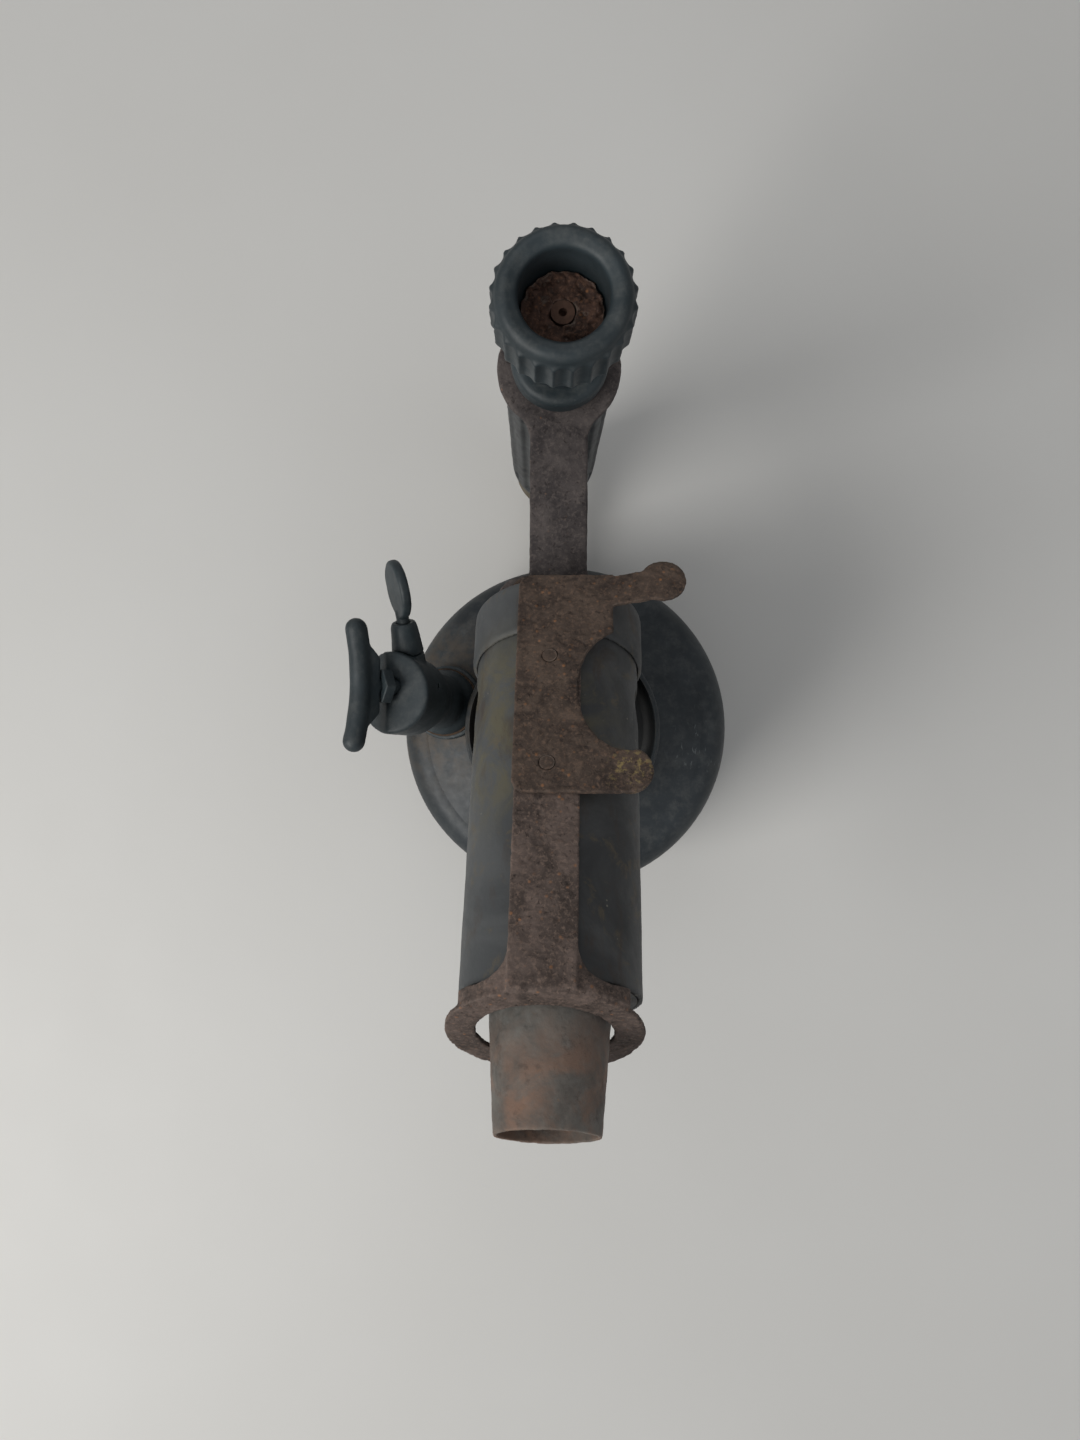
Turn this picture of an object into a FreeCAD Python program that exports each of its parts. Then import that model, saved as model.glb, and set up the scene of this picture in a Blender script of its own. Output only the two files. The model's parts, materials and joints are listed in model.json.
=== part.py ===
import FreeCAD, Part
import math
import os

# A small hand-pumped blowlamp with its pump inside the handle, in millimetres.
# +Z is up, -Y is the way the flame points, and the origin is the middle of the tank's flat underside.

V = FreeCAD.Vector

# ---------------------------------------------------------------- driving dimensions
# Tank
TANK_R = 49.0
TANK_WALL = 1.2
TANK_SIDE_TOP = 53.0
TANK_SHOULDER_R = 41.0
TANK_SHOULDER_Z = 62.5
TANK_TOP = 70.0
BASE_LIP_R = 49.8
BASE_LIP_TOP = 5.0

# Neck, cup and riser
NECK_R = 8.0
NECK_FLANGE_R = 11.5
NECK_FLANGE_TOP = 74.0
NECK_TOP = 84.0
CUP_R = 27.0
CUP_BEAD = 0.5
CUP_TOP = 83.0
SHEET = 0.8
RISER_R = 6.5
RISER_BORE = 4.2
RISER_TOP = 113.0
WICK_R = 4.0
NUT_FLATS = 19.0
NECK_NUT_T = 6.0
BURNER_NUT_BOTTOM = 100.5

# Burner: everything on it is laid out by distance along its own axis, where 0 is above the tank's middle
BURNER_TILT = math.radians(28.5)
BURNER_AXIS_Z = 135.9
BOSS_R = 10.0
BOSS_BOTTOM = 106.0
BOSS_CLEARANCE = 0.2
GAS_WAY_R = 2.0
BARREL_R = 19.0
BARREL_WALL = 1.2
BARREL_REAR = -20.0
BARREL_FRONT = 62.0
BACK_PLATE_REAR = -30.0
COLLAR_R = 20.2
COLLAR_FRONT = -16.0
CORE_R = 12.0
CORE_BORE = 8.5
CORE_FRONT = 50.0
JET_SEAT = -12.0
AIR_HOLE_AT = -6.0
NOZZLE_REAR = 47.0
NOZZLE_TAPER_FROM = 66.0
NOZZLE_FRONT = 88.3
NOZZLE_R = 12.5
NOZZLE_FRONT_R = 10.7
NOZZLE_WALL = 0.9

# Soldering-iron rest, riveted together a little to one side of the burner's middle
REST_X = -1.0
STRAP_HALF = 6.9
STRAP_T = 1.3
STRAP_REAR = -15.0
HOOD_HALF = 17.0
HOOD_FROM = 62.3
HOOD_FILLET = 6.5
HOOD_LIFT = 0.2
PLATE_AT = 67.5
PLATE_LEAN = 10.0
PLATE_R = 20.4
PLATE_HOLE_R = 14.0
SADDLE_T = 1.3
SADDLE_REAR = -29.5
SADDLE_FRONT = 24.7
SADDLE_LEFT = -7.4
SADDLE_RIGHT = 14.0
SADDLE_CORNER_R = 3.0
WINDOW_AT = 17.0
WINDOW_HALF = (10.8, 14.8)
RIVET_R = 1.6
RIVET_PLACES = [(0, -8), (0, 18)]

# Handle with the pump inside it
HANDLE_Y = 87.5
HANDLE_LEAN = 2.8
BRACKET_Z = 124.4
BRACKET_T = 2.6
BAR_HALF = 7.0
EYE_R = 15.0
BRACKET_PAD_HALF = 15.3
BRACKET_PAD_FRONT = 29.8
BRACKET_PAD_REAR = 37.8
PAD_CORNER_R = 7.5
EYE_FILLET = 7.0
LUG_BOTTOM = 112.0
SCREW_Y = 33.9
SCREW_XS = (-8, 8)
SCREW_R = 2.0
SCREW_HEAD_R = 3.0
SCREW_HEAD_T = 2.0
SCREW_TIP = 115.0
PUMP_R = 9.5
PUMP_BORE = 8.7
PUMP_BOTTOM = 22.0
PUMP_TOP = 133.0
GRIP_R = 13.4
GRIP_BOTTOM = 31.0
GRIP_FLUTES = 14
GRIP_CUT_R = 1.9
CAP_R = 11.6
CAP_TOP = 136.0
ROD_R = 2.5
ROD_CLEARANCE = 0.06
KNOB_BOTTOM = 136.4
KNOB_NECK_R = 8.0
KNOB_HEAD_BOTTOM = 160.5
KNOB_TOP = 174.0
KNOB_R = 15.2
KNOB_RIM_R = 14.0
KNOB_FLUTES = 24
KNOB_CUT_R = 2.3
RECESS_R = 9.2
RECESS_FLOOR = 161.5
WASHER_T = 1.6
ROD_HOLE_R = 0.9
PISTON_Z = 38.0
CUP_CLEARANCE = 0.08
FOOT_R = 12.4
FOOT_BOTTOM = 14.0
AIR_TUBE_Z = 17.5
AIR_TUBE_R = 4.0
AIR_TUBE_BORE = 3.0
AIR_TUBE_ENDS = (45.5, 78.0)
AIR_BOSS_R = 8.0
AIR_BOSS_TO = 52.5
CHAMBER_R = 4.5
POPPET_TOP = 22.0
POPPET_T = 2.0
PLUG_TOP = 15.2
SPRING_R = 2.6
SPRING_WIRE_R = 0.3
SPRING_TURNS = 4.5

# Filler post on the tank's left shoulder. A sloping flat across its head carries the wing screw
POST_FOOT = V(-34.6, 7.6, 66.0)
POST_AXIS = V(-0.172, 0.042, 0.984)
POST_R = 10.6
POST_WAIST_R = 8.0
POST_TOP = 49.6
POST_BORE = 5.5
POST_BORE_TOP = 34.0
POST_SPIGOT_R = 7.0
POST_FLANGE_R = 11.0
POST_FLANGE_T = 2.0
SEAL_T = 1.2
WING_AT = 49.3
WING_AXIS = V(-0.75, 0.02, 0.66)
WING_OFFSET = V(0, 1.5, 0)
WING_FLAT = 0.6
WING_STEM_R = 2.2
WING_NUT_FLATS = 8.4
WING_WEB_FROM = 3.8
WING_WEB_ROOT = 7.0
WING_WEB_END = 11.5
WING_WEB_T = 4.6
WING_BAR_AT = 8.2
WING_BAR_SWEEP = 1.6
WING_SPAN = 33.5
WING_BAR_R = 2.8
AIR_AT = 38.0
AIR_OFFSET = V(2.8, 0, 0)
AIR_AXIS = V(-0.09, 0.92, 0.38)
AIR_UP = V(0.42, 0, 1)
AIR_STEM_R = 1.7
AIR_GLAND_FROM = 12.0
AIR_GLAND_TO = 20.3
AIR_GLAND_R = 4.2
PADDLE_FROM = 21.5
PADDLE_TO = 36.5
PADDLE_T = 2.6
SCREW_CLEARANCE = 0.06


# ---------------------------------------------------------------- helpers
NODES = {}


def keep(name, shape):
    """Holds a finished piece until it is written out."""
    NODES[name] = shape


def rod(r, z0, z1, x=0.0, y=0.0):
    """A solid round bar along Z."""
    return Part.makeCylinder(r, z1 - z0, V(x, y, z0))


def ring(r_out, r_in, z0, z1, x=0.0, y=0.0):
    """A round tube along Z."""
    return rod(r_out, z0, z1, x, y).cut(rod(r_in, z0 - 1, z1 + 1, x, y))


def turned(profile):
    """A solid turned about Z from (radius, height) corners; four numbers are an arc's middle and end."""
    edges = []
    last = V(profile[0][0], 0, profile[0][1])
    for corner in list(profile[1:]) + [profile[0]]:
        if len(corner) == 4:
            middle = V(corner[0], 0, corner[1])
            end = V(corner[2], 0, corner[3])
            edges.append(Part.Arc(last, middle, end).toShape())
        else:
            end = V(corner[0], 0, corner[1])
            edges.append(Part.LineSegment(last, end).toShape())
        last = end
    return Part.Face(Part.Wire(edges)).revolve(V(0, 0, 0), V(0, 0, 1), 360)


def hexagon(flats, z0, z1):
    """A hexagonal bar along Z, given across its flats."""
    r = flats / math.sqrt(3)
    corners = [V(r * math.cos(a * math.pi / 3), r * math.sin(a * math.pi / 3), z0) for a in range(7)]
    return Part.Face(Part.makePolygon(corners)).extrude(V(0, 0, z1 - z0))


def block(x0, x1, y0, y1, z0, z1):
    """A box between two corners."""
    return Part.makeBox(x1 - x0, y1 - y0, z1 - z0, V(x0, y0, z0))


def placed(shape, origin, axis, up):
    """Stands a piece made along Z on an axis, with its own Y as near to up as it can be."""
    z = V(axis).normalize()
    x = V(up).cross(z).normalize()
    y = z.cross(x)
    matrix = FreeCAD.Matrix(
        x.x, y.x, z.x, origin.x,
        x.y, y.y, z.y, origin.y,
        x.z, y.z, z.z, origin.z,
        0, 0, 0, 1,
    )
    moved = shape.copy()
    moved.Placement = FreeCAD.Placement(matrix).multiply(moved.Placement)
    return moved


def on_burner(shape):
    """From the burner's own layout (Z along its axis, Y square to it and up) to its place on the lamp."""
    tilt = BURNER_TILT
    axis = V(0, -math.cos(tilt), math.sin(tilt))
    return placed(shape, V(0, 0, BURNER_AXIS_Z), axis, V(0, math.sin(tilt), math.cos(tilt)))


def on_rest(shape):
    """From the burner's own layout to the rest's, which sits a little to one side."""
    return on_burner(shape).translated(V(REST_X, 0, 0))


def leaned(shape):
    """Leans a part of the handle to one side, about a line along the bracket."""
    turned_shape = shape.copy()
    turned_shape.rotate(V(0, 0, BRACKET_Z), V(0, 1, 0), HANDLE_LEAN)
    return turned_shape


def on_handle(shape):
    """From the pump's own upright axis to the handle's leaning one."""
    return leaned(shape.translated(V(0, HANDLE_Y, 0)))


def on_post(shape):
    """From the filler post's own axis to its place on the tank's shoulder."""
    return placed(shape, POST_FOOT, POST_AXIS, V(0, 1, 0))


def post_point(height):
    """The point on the filler post's axis at this height above its foot."""
    return POST_FOOT + V(POST_AXIS).normalize() * height


def on_wing(shape):
    """From the wing screw's own axis to its place on the post's head."""
    return placed(shape, post_point(WING_AT) + WING_OFFSET, WING_AXIS, V(0, 1, 0))


def on_air_screw(shape):
    """From the air screw's own axis to its place on the post."""
    return placed(shape, post_point(AIR_AT) + AIR_OFFSET, AIR_AXIS, AIR_UP)


def flat_capsule(x0, y0, x1, y1, r, z0, z1):
    """A flat bar with round ends between two points."""
    length = math.hypot(x1 - x0, y1 - y0)
    angle = math.degrees(math.atan2(y1 - y0, x1 - x0))
    bar = block(0, length, -r, r, z0, z1).fuse(rod(r, z0, z1)).fuse(rod(r, z0, z1, length))
    bar.rotate(V(0, 0, 0), V(0, 0, 1), angle)
    return bar.translated(V(x0, y0, 0))


def edges_at(shape, x, y):
    """The upright edges that stand at this place, on either side of the middle."""
    found = []
    for edge in shape.Edges:
        a, b = edge.Vertexes[0].Point, edge.Vertexes[-1].Point
        upright = abs(a.z - b.z) > 0.5 and abs(a.x - b.x) < 0.01 and abs(a.y - b.y) < 0.01
        if upright and abs(abs(a.x) - x) < 0.05 and abs(a.y - y) < 0.05:
            found.append(edge)
    return found


# ---------------------------------------------------------------- tank
def bell(inset):
    """The tank's outside with its domed top, or its inside when inset by the wall."""
    r = TANK_R - inset
    shoulder_r = TANK_SHOULDER_R - 0.4 * inset
    shoulder_z = TANK_SHOULDER_Z - inset
    top = TANK_TOP - inset
    bend = math.sqrt(0.5)
    return turned([
        (0, TANK_WALL),
        (r, TANK_WALL),
        (r, TANK_SIDE_TOP),
        (shoulder_r + (r - shoulder_r) * bend, TANK_SIDE_TOP + (shoulder_z - TANK_SIDE_TOP) * bend,
         shoulder_r, shoulder_z),
        (shoulder_r / 2, shoulder_z + (top - shoulder_z) * 0.75, 0, top),
    ])


def side_port(r, y0, y1):
    """A level bar along Y on the air tube's axis, which runs to the leaning handle's foot."""
    return leaned(Part.makeCylinder(r, y1 - y0, V(0, y0, AIR_TUBE_Z), V(0, 1, 0)))


def make_tank():
    outside = bell(0)
    shell = outside.cut(bell(TANK_WALL))
    shell = shell.cut(rod(NECK_R, 50, 90))
    shell = shell.cut(on_post(rod(POST_SPIGOT_R, -20, 20)))
    shell = shell.cut(side_port(AIR_TUBE_R, 40, 55))
    keep("tank_shell", shell)

    keep("tank_base", turned([
        (0, 0),
        (BASE_LIP_R - 0.8, 0),
        (BASE_LIP_R - 0.2, 0.2, BASE_LIP_R, 0.8),
        (BASE_LIP_R, BASE_LIP_TOP),
        (TANK_R, BASE_LIP_TOP),
        (TANK_R, TANK_WALL),
        (0, TANK_WALL),
    ]))

    boss = side_port(AIR_BOSS_R, TANK_R - 3, AIR_BOSS_TO).cut(side_port(AIR_TUBE_R, 40, 60)).cut(outside)
    keep("air_tube_boss", boss)
    keep("air_tube", side_port(AIR_TUBE_R, *AIR_TUBE_ENDS).cut(side_port(AIR_TUBE_BORE, 40, 80)))


# ---------------------------------------------------------------- neck, cup and riser
def make_neck():
    keep("neck_bush", turned([
        (RISER_R, 65),
        (NECK_R, 65),
        (NECK_R, TANK_TOP),
        (NECK_FLANGE_R, TANK_TOP),
        (NECK_FLANGE_R, NECK_FLANGE_TOP),
        (NECK_R, NECK_FLANGE_TOP),
        (NECK_R, NECK_TOP),
        (RISER_R, NECK_TOP),
    ]))
    wall = CUP_R - SHEET
    keep("preheat_cup", turned([
        (NECK_R, NECK_FLANGE_TOP),
        (wall - 3, NECK_FLANGE_TOP),
        (wall - 0.6, NECK_FLANGE_TOP + 1, CUP_R, NECK_FLANGE_TOP + 4),
        (CUP_R, CUP_TOP - 1.6),
        (CUP_R + CUP_BEAD, CUP_TOP - 0.8, CUP_R, CUP_TOP),
        (wall, CUP_TOP),
        (wall, NECK_FLANGE_TOP + 4),
        (wall - 1.2, NECK_FLANGE_TOP + 1.7, wall - 3, NECK_FLANGE_TOP + SHEET),
        (NECK_R, NECK_FLANGE_TOP + SHEET),
    ]))
    keep("riser_tube", ring(RISER_R, RISER_BORE, 62, RISER_TOP))
    keep("wick", rod(WICK_R, 6, 100))
    bore = rod(RISER_R, 60, 120)
    keep("neck_nut", hexagon(NUT_FLATS, NECK_TOP, NECK_TOP + NECK_NUT_T).cut(bore))
    keep("burner_nut", hexagon(NUT_FLATS, BURNER_NUT_BOTTOM, BOSS_BOTTOM).cut(bore))


# ---------------------------------------------------------------- burner
def make_burner():
    boss = rod(BOSS_R, BOSS_BOTTOM, 124)
    boss_hole = rod(BOSS_R + BOSS_CLEARANCE, 100, 128)
    lug = leaned(block(-10, 10, 20, 37, LUG_BOTTOM, BRACKET_Z))
    lug = lug.cut(on_burner(rod(40, BACK_PLATE_REAR, 20)))
    body = on_burner(rod(BARREL_R, BACK_PLATE_REAR, BARREL_REAR))
    body = body.fuse(on_burner(rod(CORE_R, BARREL_REAR, NOZZLE_REAR)))
    body = body.fuse(on_burner(rod(NOZZLE_R - NOZZLE_WALL, NOZZLE_REAR, CORE_FRONT)))
    body = body.fuse(boss).fuse(lug)
    body = body.cut(on_burner(rod(CORE_BORE, JET_SEAT, CORE_FRONT + 1)))
    body = body.cut(rod(RISER_R, 100, RISER_TOP)).cut(rod(GAS_WAY_R, RISER_TOP, 124.5))
    body = body.cut(on_burner(rod(1.5, -20, -2, 0, -10.2)))
    body = body.cut(on_burner(Part.makeCylinder(1.5, 10.5, V(0, -10.5, -20), V(0, 1, 0))))
    body = body.cut(on_burner(rod(2.0, -20, JET_SEAT)))
    air = Part.makeCylinder(4.0, 60, V(-30, 0, AIR_HOLE_AT), V(1, 0, 0))
    body = body.cut(on_burner(air))
    for x in SCREW_XS:
        body = body.cut(leaned(rod(SCREW_R + SCREW_CLEARANCE, SCREW_TIP - 1, 130, x, SCREW_Y)))
    keep("burner_body", body.removeSplitter())

    nipple = hexagon(6.0, JET_SEAT, JET_SEAT + 3.5).fuse(rod(2.0, JET_SEAT - 3, JET_SEAT))
    nipple = nipple.fuse(Part.makeCone(2.4, 1.2, 3.0, V(0, 0, JET_SEAT + 3.5)))
    keep("jet_nipple", on_burner(nipple.cut(rod(0.5, JET_SEAT - 4, JET_SEAT + 8)).removeSplitter()))

    barrel = ring(BARREL_R, BARREL_R - BARREL_WALL, BARREL_REAR, BARREL_FRONT)
    barrel = barrel.cut(Part.makeCylinder(5.0, 60, V(-30, 0, AIR_HOLE_AT), V(1, 0, 0)))
    keep("burner_barrel", on_burner(barrel).cut(boss_hole))
    collar = on_burner(turned([
        (BARREL_R, BACK_PLATE_REAR),
        (COLLAR_R - 1.0, BACK_PLATE_REAR),
        (COLLAR_R - 0.3, BACK_PLATE_REAR + 0.3, COLLAR_R, BACK_PLATE_REAR + 1.0),
        (COLLAR_R, COLLAR_FRONT - 1.0),
        (COLLAR_R - 0.8, COLLAR_FRONT),
        (BARREL_R, COLLAR_FRONT),
    ]))
    keep("rear_collar", collar.cut(boss_hole).cut(lug))

    def nozzle_cone(r, front_r):
        straight = rod(r, NOZZLE_REAR, NOZZLE_TAPER_FROM)
        taper = Part.makeCone(r, front_r, NOZZLE_FRONT - NOZZLE_TAPER_FROM, V(0, 0, NOZZLE_TAPER_FROM))
        return straight.fuse(taper)

    outside = nozzle_cone(NOZZLE_R, NOZZLE_FRONT_R)
    inside = nozzle_cone(NOZZLE_R - NOZZLE_WALL, NOZZLE_FRONT_R - NOZZLE_WALL)
    keep("nozzle_tube", on_burner(outside.cut(inside).removeSplitter()))
    front_ring = ring(BARREL_R - BARREL_WALL, NOZZLE_R, BARREL_FRONT - 1.5, BARREL_FRONT)
    keep("barrel_front_ring", on_burner(front_ring))


# ---------------------------------------------------------------- soldering-iron rest
def upright_pin(r, x, s, low, high):
    """A pin square to the burner's axis, in the burner's layout."""
    return Part.makeCylinder(r, high - low, V(x, low, s), V(0, 1, 0))


def on_plate(shape):
    """From flat to the front plate's place, its top leaning back towards the strap."""
    tilted = shape.copy()
    tilted.rotate(V(0, 0, 0), V(1, 0, 0), -PLATE_LEAN)
    return tilted.translated(V(0, 0, PLATE_AT))


def make_rest():
    low = BARREL_R
    high = low + STRAP_T
    in_front = on_plate(rod(60, STRAP_T / 2, 40))

    # the lower strap widens into a short hood over the barrel's edge and ends in a round plate
    skin_r = low + HOOD_LIFT
    skin = ring(skin_r + STRAP_T, skin_r, HOOD_FROM - HOOD_FILLET, PLATE_AT + 1, -REST_X)
    skin = skin.common(block(-HOOD_HALF, HOOD_HALF, 5, 30, 0, 80))
    hood = skin.common(block(-HOOD_HALF, HOOD_HALF, 5, 30, HOOD_FROM, 80))
    for side in (-1, 1):
        edge = side * STRAP_HALF
        corner = side * (STRAP_HALF + HOOD_FILLET)
        web = skin.common(block(min(edge, corner), max(edge, corner), 5, 30, 0, 80))
        hood = hood.fuse(web.cut(upright_pin(HOOD_FILLET, corner, HOOD_FROM - HOOD_FILLET, 5, 30)))
    strap = block(-STRAP_HALF, STRAP_HALF, low, high, STRAP_REAR, PLATE_AT)
    plate = on_plate(rod(PLATE_R, 0, STRAP_T))
    rest = strap.fuse(hood).cut(in_front).fuse(plate)
    rest = rest.cut(on_plate(rod(PLATE_HOLE_R, -2, 10))).removeSplitter()
    for x, s in RIVET_PLACES:
        rest = rest.cut(upright_pin(RIVET_R, x, s, low - 2, low + 8))
    keep("rest_strap", on_rest(rest))

    top = high + SADDLE_T
    sketch = block(SADDLE_LEFT, SADDLE_RIGHT, SADDLE_REAR, SADDLE_FRONT, 0, SADDLE_T)
    left_corners = edges_at(sketch, -SADDLE_LEFT, SADDLE_REAR) + edges_at(sketch, -SADDLE_LEFT, SADDLE_FRONT)
    sketch = sketch.makeFillet(SADDLE_CORNER_R, left_corners)
    sketch = sketch.fuse(flat_capsule(10, -24.4, 25, -27.4, 3.9, 0, SADDLE_T))
    sketch = sketch.fuse(rod(5.3, 0, SADDLE_T, 25.2, -28))
    sketch = sketch.fuse(flat_capsule(4, 19.5, 17, 19.5, 5.2, 0, SADDLE_T))
    across, along = WINDOW_HALF
    ellipse = Part.Ellipse(V(WINDOW_AT, along, -1), V(WINDOW_AT - across, 0, -1), V(WINDOW_AT, 0, -1))
    window = Part.Face(Part.Wire(ellipse.toShape())).extrude(V(0, 0, 5))
    sketch = sketch.cut(window).cut(block(WINDOW_AT, 40, -along, along - 0.3, -1, 5))
    sketch = max(sketch.removeSplitter().Solids, key=lambda solid: solid.Volume)
    # the flat sketch is (across, along); stood up it becomes (across, height, along)
    sketch.rotate(V(0, 0, 0), V(1, 0, 0), 90)
    saddle = sketch.translated(V(0, top, 0))
    for x, s in RIVET_PLACES:
        saddle = saddle.cut(upright_pin(RIVET_R, x, s, low, low + 10))
    keep("rest_saddle", on_rest(saddle))

    rivets = [on_rest(upright_pin(RIVET_R, x, s, low, top)) for x, s in RIVET_PLACES]
    keep("rest_rivets", Part.makeCompound(rivets))


# ---------------------------------------------------------------- handle and pump
def make_bracket():
    z0 = BRACKET_Z
    z1 = BRACKET_Z + BRACKET_T
    pad = block(-BRACKET_PAD_HALF, BRACKET_PAD_HALF, BRACKET_PAD_FRONT, BRACKET_PAD_REAR, z0, z1)
    pad = pad.makeFillet(PAD_CORNER_R, edges_at(pad, BRACKET_PAD_HALF, BRACKET_PAD_REAR))
    bar = block(-BAR_HALF, BAR_HALF, BRACKET_PAD_FRONT, HANDLE_Y, z0, z1)
    eye = rod(EYE_R, z0, z1, 0, HANDLE_Y)
    bracket = pad.fuse(bar).fuse(eye).removeSplitter()
    shoulder = HANDLE_Y - math.sqrt(EYE_R ** 2 - BAR_HALF ** 2)
    bracket = bracket.makeFillet(EYE_FILLET, edges_at(bracket, BAR_HALF, shoulder))
    bracket = bracket.cut(rod(PUMP_R, z0 - 1, z1 + 1, 0, HANDLE_Y))
    for x in SCREW_XS:
        bracket = bracket.cut(rod(SCREW_R + SCREW_CLEARANCE, z0 - 1, z1 + 1, x, SCREW_Y))
    keep("handle_bracket", leaned(bracket))

    screws = []
    for x in SCREW_XS:
        head = rod(SCREW_HEAD_R, z1, z1 + SCREW_HEAD_T, x, SCREW_Y)
        head = head.cut(block(x - 4, x + 4, SCREW_Y - 0.4, SCREW_Y + 0.4, z1 + 1.0, z1 + 3))
        screws.append(leaned(head.fuse(rod(SCREW_R, SCREW_TIP, z1, x, SCREW_Y)).removeSplitter()))
    keep("bracket_screws", Part.makeCompound(screws))


def make_pump():
    keep("pump_barrel", on_handle(ring(PUMP_R, PUMP_BORE, PUMP_BOTTOM, PUMP_TOP)))

    grip = turned([
        (PUMP_R, GRIP_BOTTOM),
        (GRIP_R - 1.5, GRIP_BOTTOM),
        (GRIP_R - 0.4, GRIP_BOTTOM + 0.4, GRIP_R, GRIP_BOTTOM + 1.5),
        (GRIP_R, BRACKET_Z - 1.5),
        (GRIP_R - 0.4, BRACKET_Z - 0.4, GRIP_R - 1.5, BRACKET_Z),
        (PUMP_R, BRACKET_Z),
    ])
    for n in range(GRIP_FLUTES):
        angle = 2 * math.pi * n / GRIP_FLUTES
        x = (GRIP_R + 1.0) * math.cos(angle)
        y = (GRIP_R + 1.0) * math.sin(angle)
        grip = grip.cut(rod(GRIP_CUT_R, GRIP_BOTTOM + 4, BRACKET_Z - 4, x, y))
    keep("handle_grip", on_handle(grip))

    hole = ROD_R + ROD_CLEARANCE
    keep("pump_cap", on_handle(turned([
        (PUMP_R, BRACKET_Z + BRACKET_T),
        (CAP_R - 1.0, BRACKET_Z + BRACKET_T),
        (CAP_R, BRACKET_Z + BRACKET_T + 4),
        (CAP_R, CAP_TOP - 2.0),
        (CAP_R - 0.6, CAP_TOP - 0.6, CAP_R - 2.0, CAP_TOP),
        (hole, CAP_TOP),
        (hole, PUMP_TOP),
        (PUMP_R, PUMP_TOP),
    ])))

    # a mushroom knob: a long neck, a scalloped head and a rounded rim round a deep recess
    flutes_top = KNOB_TOP - 2.2
    knob = turned([
        (ROD_R, KNOB_BOTTOM),
        (KNOB_NECK_R, KNOB_BOTTOM),
        (KNOB_NECK_R, KNOB_HEAD_BOTTOM - 8),
        (KNOB_NECK_R + 1.5, KNOB_HEAD_BOTTOM - 4, KNOB_R - 2.2, KNOB_HEAD_BOTTOM - 1.2),
        (KNOB_R - 0.9, KNOB_HEAD_BOTTOM - 0.9, KNOB_R, KNOB_HEAD_BOTTOM),
        (KNOB_R, flutes_top - 0.6),
        (KNOB_RIM_R, flutes_top),
        (KNOB_RIM_R - 0.6, KNOB_TOP - 0.7, KNOB_RIM_R - 2.4, KNOB_TOP),
        (RECESS_R + 1.6, KNOB_TOP - 0.4),
        (RECESS_R + 0.4, KNOB_TOP - 1.0, RECESS_R, KNOB_TOP - 2.4),
        (RECESS_R, RECESS_FLOOR),
        (ROD_R, RECESS_FLOOR),
    ])
    for n in range(KNOB_FLUTES):
        angle = 2 * math.pi * n / KNOB_FLUTES
        x = (KNOB_R + KNOB_CUT_R - 0.9) * math.cos(angle)
        y = (KNOB_R + KNOB_CUT_R - 0.9) * math.sin(angle)
        knob = knob.cut(rod(KNOB_CUT_R, KNOB_HEAD_BOTTOM - 4, flutes_top, x, y))
    keep("pump_knob", on_handle(knob))

    washer_top = RECESS_FLOOR + WASHER_T
    keep("knob_washer", on_handle(ring(RECESS_R - 0.3, ROD_R, RECESS_FLOOR, washer_top)))
    plunger_rod = rod(ROD_R, PISTON_Z - 3, washer_top)
    keep("pump_rod", on_handle(plunger_rod.cut(rod(ROD_HOLE_R, washer_top - 2, washer_top + 2))))

    leather_r = PUMP_BORE - CUP_CLEARANCE
    keep("piston_leather", on_handle(turned([
        (ROD_R, PISTON_Z + 4),
        (leather_r, PISTON_Z + 4),
        (leather_r, PISTON_Z - 2),
        (leather_r - 1.5, PISTON_Z - 2),
        (leather_r - 1.5, PISTON_Z + 2),
        (ROD_R, PISTON_Z + 2),
    ])))
    keep("piston_washer", on_handle(ring(7.6, ROD_R, PISTON_Z + 4, PISTON_Z + 5.5)))
    keep("piston_nut", on_handle(hexagon(9, PISTON_Z - 2, PISTON_Z + 2).cut(rod(ROD_R, 20, 60))))


def make_pump_foot():
    foot = turned([
        (0, FOOT_BOTTOM),
        (FOOT_R - 3, FOOT_BOTTOM),
        (FOOT_R - 0.8, FOOT_BOTTOM + 0.8, FOOT_R, FOOT_BOTTOM + 3),
        (FOOT_R, GRIP_BOTTOM),
        (0, GRIP_BOTTOM),
    ])
    foot = foot.fuse(Part.makeCylinder(6.5, 14, V(0, -15.5, AIR_TUBE_Z + 3), V(0, 1, 0)))
    foot = on_handle(foot)
    foot = foot.cut(on_handle(rod(PUMP_R, PUMP_BOTTOM, GRIP_BOTTOM + 9)))
    foot = foot.cut(on_handle(rod(CHAMBER_R, 10, PUMP_BOTTOM + 1)))
    foot = foot.cut(side_port(AIR_TUBE_R, 60, 78)).cut(side_port(AIR_TUBE_BORE - 0.5, 77, HANDLE_Y))
    keep("pump_foot", foot.removeSplitter())

    keep("valve_seat", on_handle(ring(PUMP_BORE, 1.5, PUMP_BOTTOM, PUMP_BOTTOM + 2)))
    keep("valve_poppet", on_handle(rod(3.4, POPPET_TOP - POPPET_T, POPPET_TOP)))
    plug = hexagon(11, 9.5, FOOT_BOTTOM).fuse(rod(CHAMBER_R, FOOT_BOTTOM, PLUG_TOP))
    keep("foot_plug", on_handle(plug.removeSplitter()))

    height = POPPET_TOP - POPPET_T - PLUG_TOP - 2 * SPRING_WIRE_R
    start = PLUG_TOP + SPRING_WIRE_R
    helix = Part.makeHelix(height / SPRING_TURNS, height, SPRING_R)
    helix.translate(V(0, 0, start))
    section = Part.Wire(Part.makeCircle(SPRING_WIRE_R, V(SPRING_R, 0, start), V(0, 1, 0)))
    spring = Part.Wire(helix).makePipeShell([section], True, True)
    keep("valve_spring", on_handle(spring))


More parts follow.
